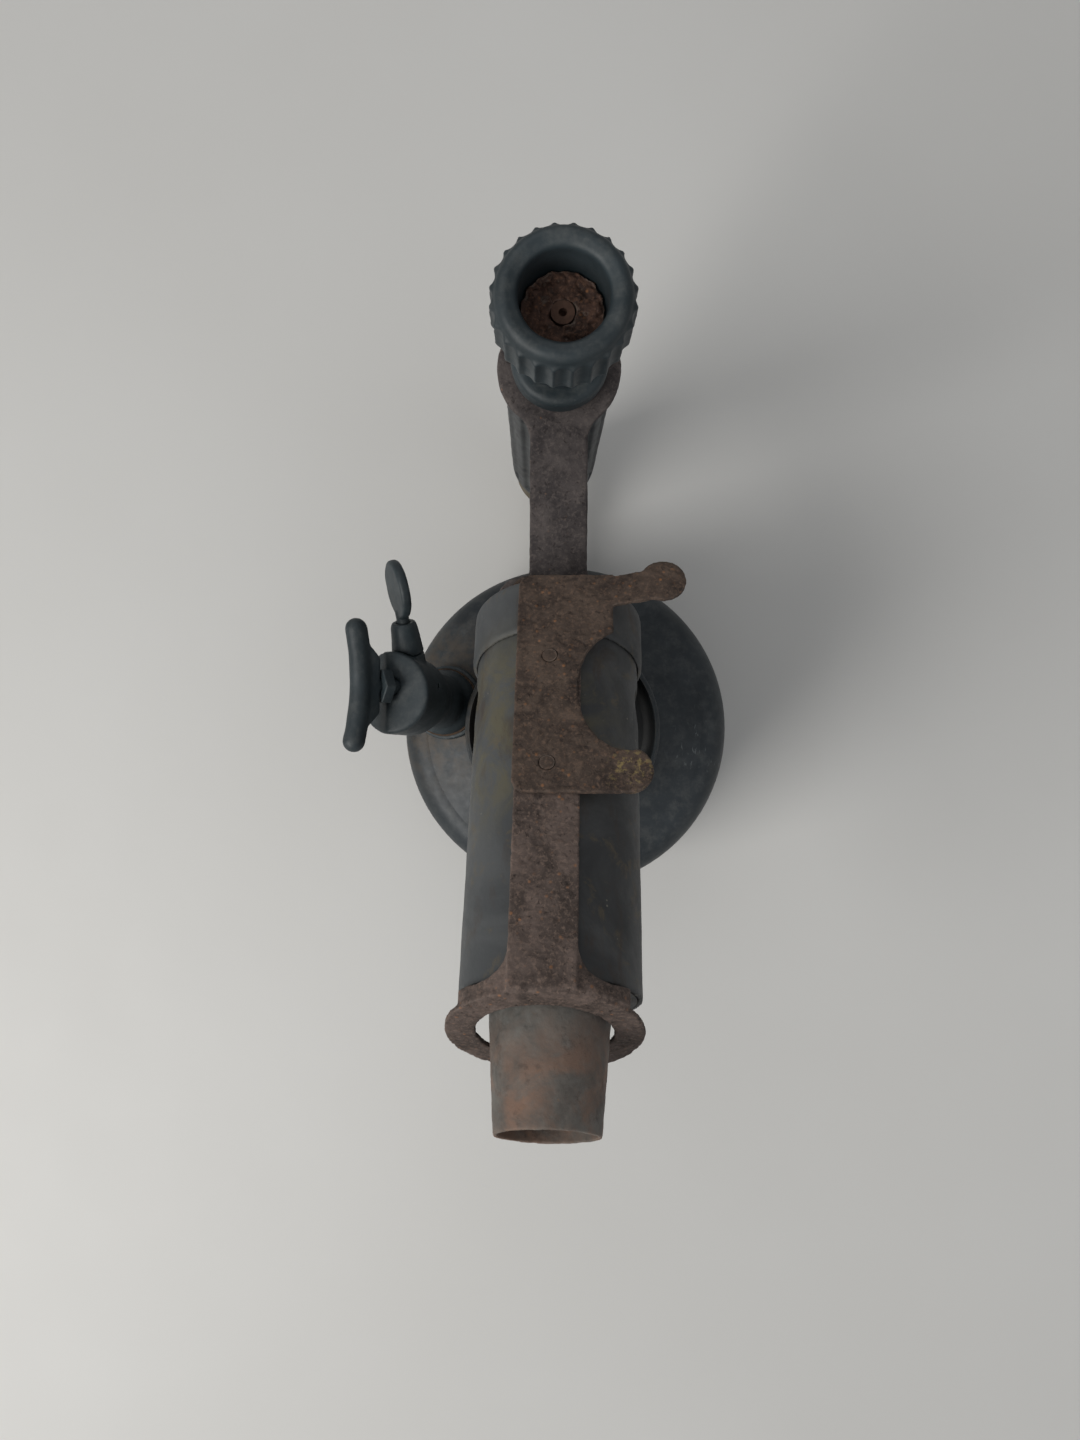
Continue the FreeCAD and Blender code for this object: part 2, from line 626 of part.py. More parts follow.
# ---------------------------------------------------------------- filler post
def make_filler():
    flange = rod(POST_FLANGE_R, -12, POST_FLANGE_T).cut(rod(POST_SPIGOT_R, -20, 20))
    flange = on_post(flange).cut(bell(0))
    flange = max(flange.Solids, key=lambda solid: solid.Volume)
    keep("filler_flange", flange)
    seal_top = POST_FLANGE_T + SEAL_T
    keep("filler_seal", on_post(ring(POST_FLANGE_R - 1.0, POST_SPIGOT_R, POST_FLANGE_T, seal_top)))

    post = turned([
        (0, -7),
        (POST_SPIGOT_R, -7),
        (POST_SPIGOT_R, seal_top),
        (POST_FLANGE_R - 1.2, seal_top),
        (POST_FLANGE_R - 1.6, seal_top + 2.5),
        (POST_WAIST_R, seal_top + 5.5),
        (POST_WAIST_R, POST_TOP - 29),
        (POST_R, POST_TOP - 16),
        (POST_R, POST_TOP - 1),
        (POST_R - 0.3, POST_TOP - 0.3, POST_R - 1, POST_TOP),
        (0, POST_TOP),
    ])
    post = on_post(post).cut(on_wing(rod(20, WING_FLAT, 30)))
    post = post.fuse(on_air_screw(Part.makeCone(4.7, AIR_GLAND_R, AIR_GLAND_FROM, V(0, 0, 0))))
    post = post.cut(on_post(rod(POST_BORE, -8, POST_BORE_TOP)))
    post = post.cut(on_wing(rod(WING_STEM_R + SCREW_CLEARANCE, -14, 20)))
    post = post.cut(on_air_screw(rod(AIR_STEM_R + SCREW_CLEARANCE, 0, 20)))
    keep("filler_post", post.removeSplitter())

    nut = hexagon(WING_NUT_FLATS, WING_FLAT, WING_WEB_FROM - 0.3)
    keep("wing_packing_nut", on_wing(nut.cut(rod(WING_STEM_R + SCREW_CLEARANCE, 0, 20))))

    # wing screw: stem, a web that widens outwards, and a curved bar across its end
    web_points = [
        (-WING_WEB_ROOT, WING_WEB_FROM),
        (WING_WEB_ROOT, WING_WEB_FROM),
        (WING_WEB_END, WING_BAR_AT),
        (-WING_WEB_END, WING_BAR_AT),
    ]
    corners = [V(-WING_WEB_T / 2, y, z) for y, z in web_points + web_points[:1]]
    wing = Part.Face(Part.makePolygon(corners)).extrude(V(WING_WEB_T, 0, 0))
    half = WING_SPAN / 2 - WING_BAR_R
    ends_at = WING_BAR_AT + WING_BAR_SWEEP
    arc = Part.Arc(V(0, -half, ends_at), V(0, 0, WING_BAR_AT), V(0, half, ends_at))
    spine = Part.Wire(arc.toShape())
    start = spine.Edges[0].tangentAt(spine.Edges[0].FirstParameter)
    section = Part.Wire(Part.makeCircle(WING_BAR_R, V(0, -half, ends_at), start))
    wing = wing.fuse(spine.makePipeShell([section], True, True))
    for y in (-half, half):
        wing = wing.fuse(Part.makeSphere(WING_BAR_R, V(0, y, ends_at)))
    wing = wing.fuse(rod(WING_STEM_R, -12, WING_BAR_AT))
    keep("wing_screw", on_wing(wing.removeSplitter()))

    bore = AIR_STEM_R + SCREW_CLEARANCE
    gland = turned([
        (bore, AIR_GLAND_FROM),
        (AIR_GLAND_R, AIR_GLAND_FROM),
        (AIR_GLAND_R - 0.8, AIR_GLAND_TO - 1.2),
        (AIR_GLAND_R - 1.2, AIR_GLAND_TO),
        (bore, AIR_GLAND_TO),
    ])
    keep("air_screw_gland", on_air_screw(gland).cut(NODES["filler_post"]))

    paddle_r = (PADDLE_TO - PADDLE_FROM) / 2
    middle = V(-PADDLE_T / 2, 0, PADDLE_FROM + paddle_r)
    paddle = Part.makeCylinder(paddle_r, PADDLE_T, middle, V(1, 0, 0))
    rims = [edge for edge in paddle.Edges if isinstance(edge.Curve, Part.Circle)]
    paddle = paddle.makeFillet(0.9, rims)
    screw = paddle.fuse(rod(AIR_STEM_R, 4.5, PADDLE_FROM + 2))
    keep("air_screw", on_air_screw(screw.removeSplitter()))


# ---------------------------------------------------------------- build
def main():
    make_tank()
    make_neck()
    make_burner()
    make_rest()
    make_bracket()
    make_pump()
    make_pump_foot()
    make_filler()
    os.makedirs("parts", exist_ok=True)
    for name, shape in NODES.items():
        if not shape.isValid() or not shape.Solids or shape.Volume <= 0:
            print("check this piece:", name, shape.ShapeType, len(shape.Solids), shape.Volume)
        shape.exportStep("parts/" + name + ".step")


main()
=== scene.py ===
import json
import math

import bpy
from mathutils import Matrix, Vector, noise


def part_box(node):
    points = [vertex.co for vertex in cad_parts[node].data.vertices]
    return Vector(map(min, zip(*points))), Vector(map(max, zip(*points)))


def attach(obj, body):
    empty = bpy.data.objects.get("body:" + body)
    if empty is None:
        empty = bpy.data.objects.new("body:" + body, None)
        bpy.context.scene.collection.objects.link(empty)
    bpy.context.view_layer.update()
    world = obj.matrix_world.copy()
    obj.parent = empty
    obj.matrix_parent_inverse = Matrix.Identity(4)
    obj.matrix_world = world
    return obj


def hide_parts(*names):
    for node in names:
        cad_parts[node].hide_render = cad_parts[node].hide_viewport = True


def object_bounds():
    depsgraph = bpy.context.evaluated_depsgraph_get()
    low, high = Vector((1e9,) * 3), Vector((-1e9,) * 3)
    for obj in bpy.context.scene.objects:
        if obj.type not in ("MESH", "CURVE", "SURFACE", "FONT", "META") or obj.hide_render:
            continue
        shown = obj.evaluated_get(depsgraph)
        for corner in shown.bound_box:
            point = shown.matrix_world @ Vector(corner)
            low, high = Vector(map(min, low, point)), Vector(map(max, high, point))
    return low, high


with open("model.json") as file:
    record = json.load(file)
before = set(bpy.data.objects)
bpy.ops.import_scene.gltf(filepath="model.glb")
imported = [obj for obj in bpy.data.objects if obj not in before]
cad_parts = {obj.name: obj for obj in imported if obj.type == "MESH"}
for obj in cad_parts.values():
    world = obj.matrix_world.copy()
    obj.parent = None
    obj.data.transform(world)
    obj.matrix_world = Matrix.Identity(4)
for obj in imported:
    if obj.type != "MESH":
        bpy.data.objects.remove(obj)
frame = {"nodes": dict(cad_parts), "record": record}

# A small old blowlamp seen from above: worn dark enamel, rusted sheet iron and dull castings.
# Lengths are in metres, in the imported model's own frame: +Z up, the burner points to -Y.

CAD_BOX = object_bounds()
MM = 0.001


# ---------------------------------------------------------------- camera and light
CAMERA_AT = (0.0079, 0.0046, 0.3867)
CAMERA_TURN = (-0.35, 2.66, 0.24)
CAMERA_LENS = 27.0
SENSOR = 36.0
LIGHTS_AIM_AT = Vector((0, 0, 0.08))


def make_camera():
    """A phone-like lens looking straight down."""
    data = bpy.data.cameras.new("camera")
    data.lens = CAMERA_LENS
    data.sensor_width = SENSOR
    data.clip_start = 0.01
    camera = bpy.data.objects.new("camera", data)
    camera.location = CAMERA_AT
    camera.rotation_euler = [math.radians(a) for a in CAMERA_TURN]
    bpy.context.scene.collection.objects.link(camera)
    bpy.context.scene.camera = camera


def area_light(name, at, size, power, colour):
    """A square soft light aimed at the lamp's middle."""
    data = bpy.data.lights.new(name, "AREA")
    data.size = size
    data.energy = power
    data.color = colour
    light = bpy.data.objects.new(name, data)
    light.location = at
    light.rotation_euler = (LIGHTS_AIM_AT - Vector(at)).to_track_quat("-Z", "Y").to_euler()
    bpy.context.scene.collection.objects.link(light)


def make_light():
    """A window on the left, weaker light from the room and the ceiling, and an even grey surround."""
    area_light("window", (-0.60, -0.36, 0.74), 0.55, 6.6, (1.0, 0.985, 0.96))
    area_light("room", (0.85, -0.60, 0.95), 1.2, 2.2, (0.95, 0.97, 1.0))
    area_light("ceiling", (-0.20, 0.85, 1.05), 0.8, 1.9, (1.0, 1.0, 1.0))
    world = bpy.data.worlds.new("world")
    world.use_nodes = True
    background = world.node_tree.nodes["Background"]
    background.inputs["Color"].default_value = (0.90, 0.92, 0.95, 1)
    background.inputs["Strength"].default_value = 0.26
    bpy.context.scene.world = world
    bpy.context.scene.view_settings.view_transform = "Standard"


# ---------------------------------------------------------------- places that some materials need
NOZZLE_LOW, NOZZLE_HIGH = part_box("nozzle_tube")
MOUTH_AT = (0.004, NOZZLE_LOW.y + 0.006, NOZZLE_HIGH.z - 0.006)
COLLAR_LOW, COLLAR_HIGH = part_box("rear_collar")
SCORCH_AT = (-0.010, COLLAR_LOW.y - 0.004, COLLAR_HIGH.z + 0.006)
CUP_MIDDLE = (0.0, 0.0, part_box("preheat_cup")[0].z)
SADDLE_LOW, SADDLE_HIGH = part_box("rest_saddle")
WORN_EAR_AT = (0.0165, SADDLE_LOW.y + 0.005, SADDLE_HIGH.z - 0.003)
TANK_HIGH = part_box("tank_shell")[1]
SCUFFS_AT = (TANK_HIGH.x - 0.010, -0.006, TANK_HIGH.z - 0.010)
FLANGE_LOW, FLANGE_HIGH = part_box("filler_flange")
POST_FOOT_AT = tuple(FLANGE_LOW.lerp(FLANGE_HIGH, 0.5))
ROD_LOW, ROD_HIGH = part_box("pump_rod")
ROD_END = (ROD_HIGH.x - 0.0025, (ROD_LOW.y + ROD_HIGH.y) / 2, ROD_HIGH.z)


# ---------------------------------------------------------------- material building
class Graph:
    """A small builder for procedural materials. Patterns are laid out in metres on the piece itself."""

    def __init__(self, name):
        self.material = bpy.data.materials.new(name)
        self.material.use_nodes = True
        self.nodes = self.material.node_tree.nodes
        self.links = self.material.node_tree.links
        self.shader = self.nodes["Principled BSDF"]
        self.position = self.nodes.new("ShaderNodeTexCoord").outputs["Object"]

    def put(self, socket, value):
        """Gives a socket a number, a colour or another node's output."""
        if isinstance(value, bpy.types.NodeSocket):
            self.links.new(value, socket)
        elif isinstance(value, (tuple, list)):
            socket.default_value = (*value, 1.0) if len(socket.default_value) == 4 else value
        else:
            socket.default_value = value

    def stretched(self, scale, turn=(0, 0, 0)):
        """The position, scaled and turned, for streaks and scratches."""
        node = self.nodes.new("ShaderNodeMapping")
        self.put(node.inputs["Vector"], self.position)
        node.inputs["Scale"].default_value = scale
        node.inputs["Rotation"].default_value = [math.radians(a) for a in turn]
        return node.outputs["Vector"]

    def noise(self, per_metre, detail=4.0, rough=0.55, distortion=0.0, vector=None):
        node = self.nodes.new("ShaderNodeTexNoise")
        self.put(node.inputs["Vector"], vector or self.position)
        node.inputs["Scale"].default_value = per_metre
        node.inputs["Detail"].default_value = detail
        node.inputs["Roughness"].default_value = rough
        node.inputs["Distortion"].default_value = distortion
        return node.outputs["Fac"]

    def cells(self, per_metre, randomness=1.0):
        """Distance to the nearest of many scattered points."""
        node = self.nodes.new("ShaderNodeTexVoronoi")
        self.put(node.inputs["Vector"], self.position)
        node.inputs["Scale"].default_value = per_metre
        node.inputs["Randomness"].default_value = randomness
        return node.outputs["Distance"]

    def ease(self, value, low, high, to_low=0.0, to_high=1.0):
        """A smooth step from to_low at low to to_high at high."""
        node = self.nodes.new("ShaderNodeMapRange")
        node.interpolation_type = "SMOOTHSTEP"
        self.put(node.inputs["Value"], value)
        node.inputs["From Min"].default_value = low
        node.inputs["From Max"].default_value = high
        node.inputs["To Min"].default_value = to_low
        node.inputs["To Max"].default_value = to_high
        return node.outputs["Result"]

    def maths(self, operation, a, b=0.0):
        node = self.nodes.new("ShaderNodeMath")
        node.operation = operation
        node.use_clamp = operation in ("ADD", "SUBTRACT")
        self.put(node.inputs[0], a)
        self.put(node.inputs[1], b)
        return node.outputs[0]

    def blend(self, share, a, b):
        """Colour a turning to colour b as share goes from 0 to 1."""
        node = self.nodes.new("ShaderNodeMix")
        node.data_type = "RGBA"
        self.put(node.inputs["Factor"], share)
        self.put(node.inputs[6], a)
        self.put(node.inputs[7], b)
        return node.outputs[2]

    def mix(self, share, a, b):
        """Number a turning to number b as share goes from 0 to 1."""
        node = self.nodes.new("ShaderNodeMix")
        node.data_type = "FLOAT"
        self.put(node.inputs["Factor"], share)
        self.put(node.inputs[2], a)
        self.put(node.inputs[3], b)
        return node.outputs[0]

    def edges(self, radius):
        """How near a point is to a sharp edge: 0 on flat stretches, 1 on an edge."""
        bevel = self.nodes.new("ShaderNodeBevel")
        bevel.samples = 4
        bevel.inputs["Radius"].default_value = radius
        flat = self.nodes.new("ShaderNodeNewGeometry").outputs["Normal"]
        dot = self.nodes.new("ShaderNodeVectorMath")
        dot.operation = "DOT_PRODUCT"
        self.put(dot.inputs[0], bevel.outputs["Normal"])
        self.put(dot.inputs[1], flat)
        return self.ease(dot.outputs["Value"], 0.99, 0.85)

    def facing_up(self):
        """1 on level tops, 0 on walls, by the surface's own direction."""
        split = self.nodes.new("ShaderNodeSeparateXYZ")
        self.put(split.inputs[0], self.nodes.new("ShaderNodeNewGeometry").outputs["Normal"])
        return self.ease(split.outputs["Z"], 0.35, 0.98)

    def across(self):
        """The distance to the right of the lamp's middle."""
        split = self.nodes.new("ShaderNodeSeparateXYZ")
        self.put(split.inputs[0], self.position)
        return split.outputs["X"]

    def near(self, point, inner, outer):
        """1 within inner metres of a point, fading to 0 at outer."""
        gap = self.nodes.new("ShaderNodeVectorMath")
        gap.operation = "DISTANCE"
        self.put(gap.inputs[0], self.position)
        gap.inputs[1].default_value = point
        return self.ease(gap.outputs["Value"], outer, inner)

    def finish(self, colour, roughness, height, depth, metallic=0.0, specular=0.5):
        bump = self.nodes.new("ShaderNodeBump")
        bump.inputs["Distance"].default_value = depth
        bump.inputs["Strength"].default_value = 1.0
        self.put(bump.inputs["Height"], height)
        self.put(self.shader.inputs["Base Color"], colour)
        self.put(self.shader.inputs["Roughness"], roughness)
        self.put(self.shader.inputs["Metallic"], metallic)
        self.put(self.shader.inputs["Specular IOR Level"], specular)
        self.put(self.shader.inputs["Normal"], bump.outputs["Normal"])
        return self.material


def worn_paint(name, dark, light, bare, rust_share, gloss, dirt_at=None, soot_and_cup_shade_at=None, scuffs_at=None):
    """Old paint over metal: two tones, dust, scratches, bare edges and rust freckles, with soot and painted
    shade inside the preheat cup where asked.
    """
    g = Graph(name)
    tone = g.ease(g.noise(55, 5, 0.6, 0.4), 0.32, 0.72)
    colour = g.blend(tone, dark, light)
    dust = g.maths("MULTIPLY", g.facing_up(), g.ease(g.noise(260, 6, 0.7), 0.40, 0.78))
    dust_share = g.maths("MULTIPLY", dust, 0.22)
    colour = g.blend(dust_share, colour, (0.20, 0.20, 0.185))
    if dirt_at:
        dirt = g.maths("MULTIPLY", g.near(dirt_at, 0.010, 0.032), g.ease(g.noise(180, 6, 0.7), 0.35, 0.62))
        colour = g.blend(g.maths("MULTIPLY", dirt, 0.7), colour, (0.085, 0.062, 0.040))
    # Inside the preheat cup the paint goes almost black: soot together with painted shade of the deep cup.
    if soot_and_cup_shade_at:
        soot = g.maths("MULTIPLY", g.near(soot_and_cup_shade_at, 0.0258, 0.0275), 0.85)
        colour = g.blend(soot, colour, (0.006, 0.006, 0.006))
    long_marks = g.noise(1.0, 3, 0.6, 0.6, g.stretched((60, 2600, 500), (0, 0, 33)))
    cross_marks = g.noise(1.0, 3, 0.6, 0.6, g.stretched((2200, 90, 400), (0, 0, -21)))
    patchy = g.ease(g.noise(40, 3, 0.5), 0.50, 0.70)
    marks = g.maths("ADD", g.ease(long_marks, 0.70, 0.76), g.ease(cross_marks, 0.71, 0.77))
    marks = g.maths("MULTIPLY", marks, patchy)
    if scuffs_at:
        scuffs = g.ease(g.noise(1.0, 4, 0.65, 0.4, g.stretched((900, 260, 500), (0, 0, 25))), 0.60, 0.68)
        scuffs = g.maths("MULTIPLY", scuffs, g.near(scuffs_at, 0.004, 0.013))
        marks = g.maths("MAXIMUM", marks, scuffs)
    colour = g.blend(g.maths("MULTIPLY", marks, 0.5), colour, (0.21, 0.23, 0.23))
    edge = g.maths("MULTIPLY", g.edges(0.0007), g.ease(g.noise(500, 5, 0.65), 0.38, 0.60))
    colour = g.blend(g.maths("MULTIPLY", edge, 0.6), colour, bare)
    rust = g.ease(g.noise(330, 8, 0.72, 0.8), 0.70 - rust_share, 0.76 - rust_share)
    rust_tone = g.blend(g.noise(1500, 4, 0.6), (0.060, 0.028, 0.014), (0.20, 0.095, 0.040))
    colour = g.blend(rust, colour, rust_tone)
    rough = g.mix(g.noise(420, 5, 0.6), gloss, gloss + 0.26)
    rough = g.mix(g.maths("MAXIMUM", rust, dust_share), rough, 0.85)
    peel = g.noise(900, 4, 0.55)
    height = g.maths("ADD", g.maths("MULTIPLY", peel, 0.35), g.maths("MULTIPLY", rust, 0.5))
    return g.finish(colour, rough, height, 0.00010, 0.0, 0.45)


def rust_iron(name, dark, mid, bright, spots=0.5, rubbed_at=None):
    """Sheet iron rusted all over: dark pits, brown crust, orange freckles and a few rubbed places."""
    g = Graph(name)
    broad = g.ease(g.noise(120, 6, 0.65, 0.6), 0.34, 0.68)
    colour = g.blend(broad, dark, mid)
    grain = g.noise(1100, 8, 0.75, 0.4)
    colour = g.blend(g.ease(grain, 0.46, 0.70, 0.0, 0.75), colour, bright)
    freckled = g.ease(g.noise(210, 4, 0.6), 0.60 - spots * 0.2, 0.74)
    freckle = g.maths("MULTIPLY", g.ease(g.cells(520), 0.26, 0.08), freckled)
    colour = g.blend(g.maths("MULTIPLY", freckle, 0.85), colour, (0.34, 0.150, 0.060))
    pits = g.ease(g.noise(750, 6, 0.7, 0.3), 0.42, 0.30)
    colour = g.blend(g.maths("MULTIPLY", pits, 0.75), colour, (0.022, 0.015, 0.013))
    edge = g.maths("MULTIPLY", g.edges(0.0006), g.ease(g.noise(420, 4, 0.6), 0.36, 0.62))
    colour = g.blend(g.maths("MULTIPLY", edge, 0.55), colour, (0.24, 0.19, 0.155))
    if rubbed_at:
        rubbed = g.ease(g.noise(620, 5, 0.65), 0.52, 0.62)
        rubbed = g.maths("MULTIPLY", rubbed, g.near(rubbed_at, 0.002, 0.007))
        colour = g.blend(g.maths("MULTIPLY", rubbed, 0.8), colour, (0.26, 0.195, 0.080))
    rough = g.mix(g.noise(600, 4, 0.6), 0.66, 0.95)
    rough = g.mix(edge, rough, 0.45)
    crust = g.maths("ADD", g.maths("MULTIPLY", grain, 0.6), g.maths("MULTIPLY", freckle, 0.25))
    height = g.maths("SUBTRACT", crust, g.maths("MULTIPLY", pits, 0.5))
    return g.finish(colour, rough, height, 0.00028, 0.0, 0.35)


def stained_barrel(name):
    """Burner paint: dark grey-green, with an ochre scorch near the rear, brown runs along the tube and a
    painted highlight down its left flank.
    """
    g = Graph(name)
    tone = g.ease(g.noise(38, 5, 0.6, 0.8), 0.36, 0.66)
    colour = g.blend(tone, (0.036, 0.037, 0.038), (0.070, 0.071, 0.071))
    # Painted highlight: the left flank, the side towards the window, is lightened to a pale blue-grey.
    painted_left_highlight = g.ease(g.across(), 0.002, -0.016)
    colour = g.blend(g.maths("MULTIPLY", painted_left_highlight, 0.35), colour, (0.090, 0.100, 0.106))
    ochre = g.ease(g.noise(70, 6, 0.7, 1.0), 0.40, 0.60)
    scorch = g.maths("MULTIPLY", ochre, g.near(SCORCH_AT, 0.010, 0.030))
    colour = g.blend(g.maths("MULTIPLY", scorch, 0.8), colour, (0.105, 0.093, 0.056))
    patch = g.ease(g.noise(120, 6, 0.7, 0.5), 0.55, 0.66)
    colour = g.blend(g.maths("MULTIPLY", patch, 0.5), colour, (0.115, 0.088, 0.050))
    runs = g.noise(1.0, 6, 0.65, 0.8, g.stretched((170, 45, 70), (28.5, 0, 0)))
    colour = g.blend(g.ease(runs, 0.52, 0.72, 0.0, 0.6), colour, (0.050, 0.033, 0.023))
    specks = g.ease(g.cells(420), 0.13, 0.06)
    specks = g.maths("MULTIPLY", specks, g.ease(g.noise(90, 3, 0.5), 0.54, 0.64))
    colour = g.blend(g.maths("MULTIPLY", specks, 0.6), colour, (0.21, 0.20, 0.16))
    edge = g.maths("MULTIPLY", g.edges(0.0008), g.ease(g.noise(420, 5, 0.65), 0.40, 0.60))
    colour = g.blend(g.maths("MULTIPLY", edge, 0.6), colour, (0.13, 0.12, 0.09))
    rough = g.mix(g.noise(380, 5, 0.6), 0.45, 0.75)
    height = g.maths("ADD", g.maths("MULTIPLY", g.noise(700, 6, 0.65), 0.5), g.maths("MULTIPLY", ochre, 0.15))
    return g.finish(colour, rough, height, 0.00014, 0.0, 0.35)


def fired_metal(name):
    """The nozzle: grey-green scale at its root, orange-brown clouds towards the mouth and soot flecks."""
    g = Graph(name)
    tone = g.ease(g.noise(75, 6, 0.65, 0.4), 0.36, 0.66)
    colour = g.blend(tone, (0.064, 0.068, 0.064), (0.140, 0.146, 0.136))
    clouds = g.ease(g.noise(90, 6, 0.65, 0.3), 0.36, 0.62)
    to_mouth = g.near(MOUTH_AT, 0.010, 0.034)
    burnt = g.maths("MULTIPLY", g.maths("ADD", g.maths("MULTIPLY", clouds, 0.75), 0.2), to_mouth)
    colour = g.blend(g.maths("MULTIPLY", burnt, 0.9), colour, (0.215, 0.125, 0.085))
    soot = g.ease(g.noise(230, 6, 0.7), 0.54, 0.70)
    colour = g.blend(g.maths("MULTIPLY", soot, 0.5), colour, (0.045, 0.033, 0.028))
    bright = g.ease(g.noise(420, 6, 0.75, 0.3), 0.60, 0.74)
    bright = g.maths("MULTIPLY", bright, to_mouth)
    colour = g.blend(g.maths("MULTIPLY", bright, 0.55), colour, (0.26, 0.135, 0.066))
    edge = g.maths("MULTIPLY", g.edges(0.0006), g.ease(g.noise(500, 5, 0.65), 0.35, 0.60))
    colour = g.blend(g.maths("MULTIPLY", edge, 0.5), colour, (0.21, 0.15, 0.10))
    rough = g.mix(g.noise(500, 5, 0.6), 0.50, 0.85)
    height = g.maths("ADD", g.maths("MULTIPLY", g.noise(650, 7, 0.7), 0.6), g.maths("MULTIPLY", soot, 0.2))
    return g.finish(colour, rough, height, 0.00018, 0.1, 0.4)


def old_brass(name, dark, light, rusted_at=None):
    """Bare metal gone brown, with green in the hollows and rubbed high places, and rust at one end."""
    g = Graph(name)
    tone = g.ease(g.noise(130, 5, 0.6, 0.5), 0.36, 0.66)
    colour = g.blend(tone, dark, light)
    green = g.ease(g.noise(260, 6, 0.7), 0.60, 0.74)
    colour = g.blend(g.maths("MULTIPLY", green, 0.55), colour, (0.070, 0.105, 0.078))
    edge = g.maths("MULTIPLY", g.edges(0.0006), g.ease(g.noise(380, 4, 0.6), 0.35, 0.60))
    colour = g.blend(g.maths("MULTIPLY", edge, 0.7), colour, (0.46, 0.34, 0.14))
    rough = g.mix(g.noise(420, 5, 0.6), 0.34, 0.62)
    rough = g.mix(green, rough, 0.85)
    metal = g.mix(green, 0.85, 0.1)
    if rusted_at:
        rusted = g.near(rusted_at, 0.004, 0.007)
        crust = g.blend(g.noise(900, 6, 0.7), (0.030, 0.017, 0.013), (0.15, 0.080, 0.052))
        colour = g.blend(rusted, colour, crust)
        rough = g.mix(rusted, rough, 0.92)
        metal = g.mix(rusted, metal, 0.0)
    return g.finish(colour, rough, g.noise(800, 5, 0.6), 0.00010, metal, 0.5)


def dull_grip(name):
    """Black moulded grip, greyed where hands rubbed it, with pale streaks along its length."""
    g = Graph(name)
    tone = g.ease(g.noise(70, 5, 0.6), 0.36, 0.68)
    colour = g.blend(tone, (0.016, 0.018, 0.020), (0.036, 0.040, 0.043))
    edge = g.maths("MULTIPLY", g.edges(0.0008), g.ease(g.noise(240, 5, 0.65), 0.34, 0.62))
    colour = g.blend(g.maths("MULTIPLY", edge, 0.5), colour, (0.20, 0.21, 0.21))
    streak = g.noise(1.0, 4, 0.6, 0.3, g.stretched((700, 700, 22)))
    colour = g.blend(g.ease(streak, 0.60, 0.74, 0.0, 0.4), colour, (0.12, 0.125, 0.12))
    rough = g.mix(g.noise(300, 5, 0.6), 0.38, 0.66)
    return g.finish(colour, rough, g.noise(1200, 4, 0.6), 0.00006, 0.0, 0.5)


def soft_stuff(name, dark, light, per_metre):
    """Leather, cork or cotton: fine grain with a dull surface."""
    g = Graph(name)
    colour = g.blend(g.ease(g.noise(per_metre, 6, 0.7), 0.34, 0.66), dark, light)
    rough = g.mix(g.noise(per_metre * 2, 4, 0.6), 0.7, 0.95)
    return g.finish(colour, rough, g.noise(per_metre * 3, 5, 0.6), 0.0001)


def bench_top():
    """A plain pale bench with faint unevenness."""
    g = Graph("bench")
    colour = g.blend(g.noise(7, 4, 0.5), (0.60, 0.59, 0.565), (0.66, 0.655, 0.635))
    return g.finish(colour, g.mix(g.noise(30, 4, 0.5), 0.45, 0.6), g.noise(160, 4, 0.5), 0.00005, 0.0, 0.3)


LOOKS = {
    # The tank's enamel takes soot and painted shade inside the preheat cup around CUP_MIDDLE.
    "tank_enamel": worn_paint("tank_enamel", (0.011, 0.016, 0.020), (0.026, 0.033, 0.038),
                              (0.11, 0.10, 0.08), 0.02, 0.36, POST_FOOT_AT, CUP_MIDDLE, SCUFFS_AT),
    "dark_casting": worn_paint("dark_casting", (0.014, 0.022, 0.026), (0.030, 0.042, 0.048),
                               (0.11, 0.135, 0.14), -0.02, 0.40),
    "burner_paint": stained_barrel("burner_paint"),
    "fired_steel": fired_metal("fired_steel"),
    "rusty_steel": rust_iron("rusty_steel", (0.036, 0.025, 0.020), (0.094, 0.066, 0.050),
                             (0.170, 0.108, 0.076), 1.0, WORN_EAR_AT),
    "grip_bakelite": dull_grip("grip_bakelite"),
    "aged_brass": old_brass("aged_brass", (0.085, 0.062, 0.030), (0.17, 0.13, 0.062)),
    "bright_steel": old_brass("bright_steel", (0.16, 0.155, 0.145), (0.30, 0.29, 0.275), ROD_END),
    "leather": soft_stuff("leather", (0.040, 0.022, 0.012), (0.10, 0.058, 0.032), 900),
    "cork_rubber": soft_stuff("cork_rubber", (0.060, 0.040, 0.026), (0.13, 0.092, 0.060), 1100),
    "wick_cotton": soft_stuff("wick_cotton", (0.20, 0.17, 0.12), (0.36, 0.32, 0.25), 1500),
}
KNOB_CRUST = rust_iron("knob_crust", (0.030, 0.017, 0.013), (0.105, 0.056, 0.040), (0.24, 0.125, 0.078), 1.0)
# The strap's rust is a lighter copy of the saddle's: painted light, lifting the strap where the lamps leave
# it dim.
STRAP_PAINTED_LIGHTER_LOOK = rust_iron("strap_iron_painted_lighter", (0.052, 0.038, 0.032), (0.128, 0.094, 0.080),
                       (0.215, 0.150, 0.118), 1.0)
BRACKET_LOOK = rust_iron("bracket_iron", (0.038, 0.032, 0.032), (0.088, 0.074, 0.070),
                         (0.140, 0.115, 0.104), 0.2)


# ---------------------------------------------------------------- piece building
WAVE_MIDDLE = 0.35
PIT_STARTS = 0.12
PITS_PER_METRE = 900.0
BENCH_HALF = 3.0
SLOT_OF = {row["node"]: row["material_slot"] for row in frame["record"]["subparts"]}
BODY_OF = {node: body for body, nodes in frame["record"]["behaviour"]["bodies"].items() for node in nodes}


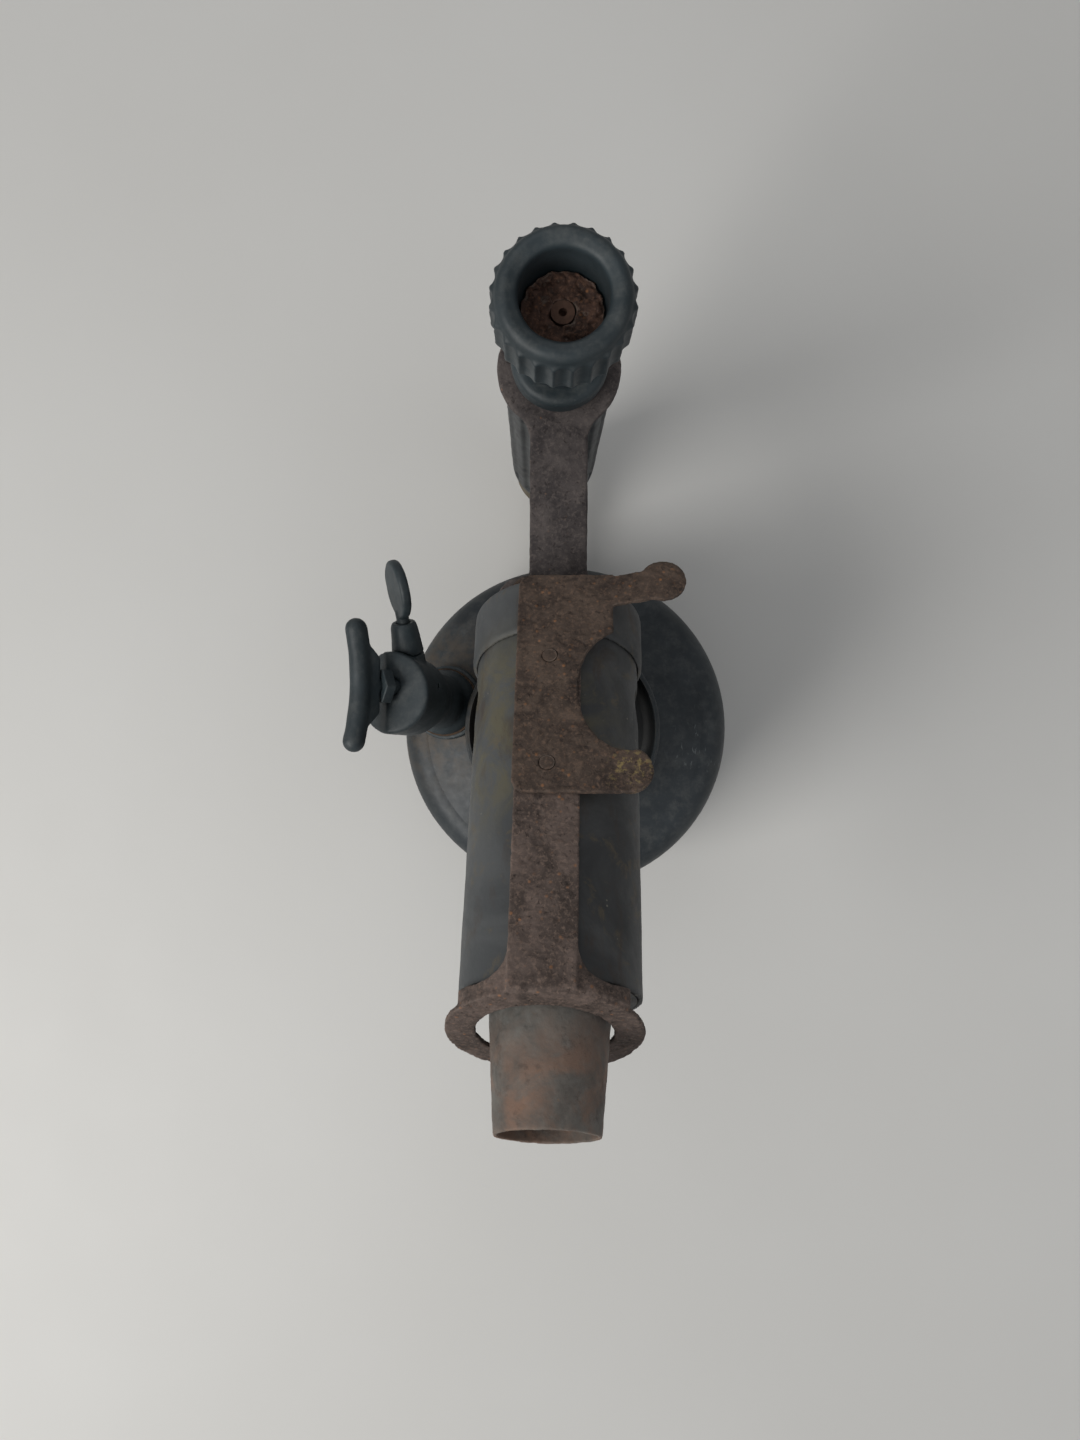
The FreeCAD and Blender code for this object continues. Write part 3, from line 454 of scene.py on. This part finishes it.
def dress(piece, material):
    """One material all over, shaded smooth."""
    piece.data.materials.clear()
    piece.data.materials.append(material)
    piece.data.polygons.foreach_set("use_smooth", [True] * len(piece.data.polygons))


def apply_modifiers(piece):
    """Bakes a piece's modifiers into its own mesh."""
    graph = bpy.context.evaluated_depsgraph_get()
    mesh = bpy.data.meshes.new_from_object(piece.evaluated_get(graph))
    piece.modifiers.clear()
    piece.data = mesh


def roughen(piece, depth, per_metre, seed, pit_depth):
    """Moves the surface in and out by a little noise, mostly inwards, and eats pits into it."""
    shift = Vector((seed * 3.17, seed * 1.73, seed * 0.61))
    mesh = piece.data
    normals = [vertex.normal.copy() for vertex in mesh.vertices]
    for vertex, normal in zip(mesh.vertices, normals):
        wave = noise.noise(vertex.co * per_metre + shift)
        move = depth * (wave - WAVE_MIDDLE)
        if pit_depth:
            pit = noise.noise(vertex.co * PITS_PER_METRE + shift * 2)
            move -= pit_depth * max(0.0, pit - PIT_STARTS)
        vertex.co += normal * move
    mesh.update()


def recast(node, voxel, smooth, depth, per_metre, seed, pit_depth=0.0, look=None):
    """A finely meshed casting or sheet in a CAD node's shape, with softened edges and an uneven skin.

    voxel is the mesh size, smooth the rounds of smoothing, depth and per_metre the skin's waves.
    """
    piece = bpy.data.objects.new(node + "_cast", frame["nodes"][node].data.copy())
    bpy.context.scene.collection.objects.link(piece)
    remesh = piece.modifiers.new("remesh", "REMESH")
    remesh.mode = "VOXEL"
    remesh.voxel_size = voxel
    softer = piece.modifiers.new("soften", "SMOOTH")
    softer.factor = 0.5
    softer.iterations = smooth
    apply_modifiers(piece)
    roughen(piece, depth, per_metre, seed, pit_depth)
    dress(piece, look or LOOKS[SLOT_OF[node]])
    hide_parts(node)
    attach(piece, BODY_OF[node])


def dress_frame_nodes():
    """Every CAD node that stays takes its slot's detailed material."""
    for name, node in frame["nodes"].items():
        node.data.materials.clear()
        node.data.materials.append(LOOKS[SLOT_OF[name]])


# ---------------------------------------------------------------- the pieces
def make_castings():
    """The sheet-iron rest and bracket, the burner's tubes, the filler's castings and the pump's outside."""
    recast("rest_saddle", 0.32 * MM, 7, 0.12 * MM, 420, 1, 0.30 * MM)
    recast("rest_strap", 0.32 * MM, 7, 0.12 * MM, 420, 2, 0.30 * MM, STRAP_PAINTED_LIGHTER_LOOK)
    recast("handle_bracket", 0.40 * MM, 6, 0.12 * MM, 380, 3, 0.20 * MM, BRACKET_LOOK)
    recast("nozzle_tube", 0.30 * MM, 4, 0.10 * MM, 300, 4, 0.10 * MM)
    recast("burner_barrel", 0.40 * MM, 4, 0.12 * MM, 150, 5)
    recast("rear_collar", 0.40 * MM, 4, 0.12 * MM, 200, 6)
    recast("filler_post", 0.40 * MM, 10, 0.15 * MM, 220, 7)
    recast("filler_flange", 0.40 * MM, 8, 0.15 * MM, 220, 8)
    recast("wing_screw", 0.30 * MM, 14, 0.10 * MM, 260, 9)
    recast("air_screw", 0.22 * MM, 8, 0.08 * MM, 260, 10)
    recast("air_screw_gland", 0.25 * MM, 6, 0.08 * MM, 260, 11)
    recast("wing_packing_nut", 0.22 * MM, 4, 0.08 * MM, 400, 12, 0.1 * MM)
    recast("pump_knob", 0.30 * MM, 14, 0.10 * MM, 240, 13)
    recast("pump_cap", 0.35 * MM, 5, 0.10 * MM, 240, 14)
    recast("knob_washer", 0.20 * MM, 3, 0.90 * MM, 460, 15, 0.9 * MM, KNOB_CRUST)
    recast("handle_grip", 0.40 * MM, 5, 0.10 * MM, 200, 16)
    recast("pump_foot", 0.40 * MM, 8, 0.15 * MM, 220, 17)


def make_bench():
    """The bench, a wide square at the tank's underside."""
    level = CAD_BOX[0].z
    signs = ((-1, -1), (1, -1), (1, 1), (-1, 1))
    corners = [(BENCH_HALF * x, BENCH_HALF * y, level) for x, y in signs]
    mesh = bpy.data.meshes.new("bench")
    mesh.from_pydata(corners, [], [(0, 1, 2, 3)])
    bench = bpy.data.objects.new("bench", mesh)
    bench.data.materials.append(bench_top())
    bpy.context.scene.collection.objects.link(bench)


make_camera()
make_light()
make_bench()
dress_frame_nodes()
make_castings()
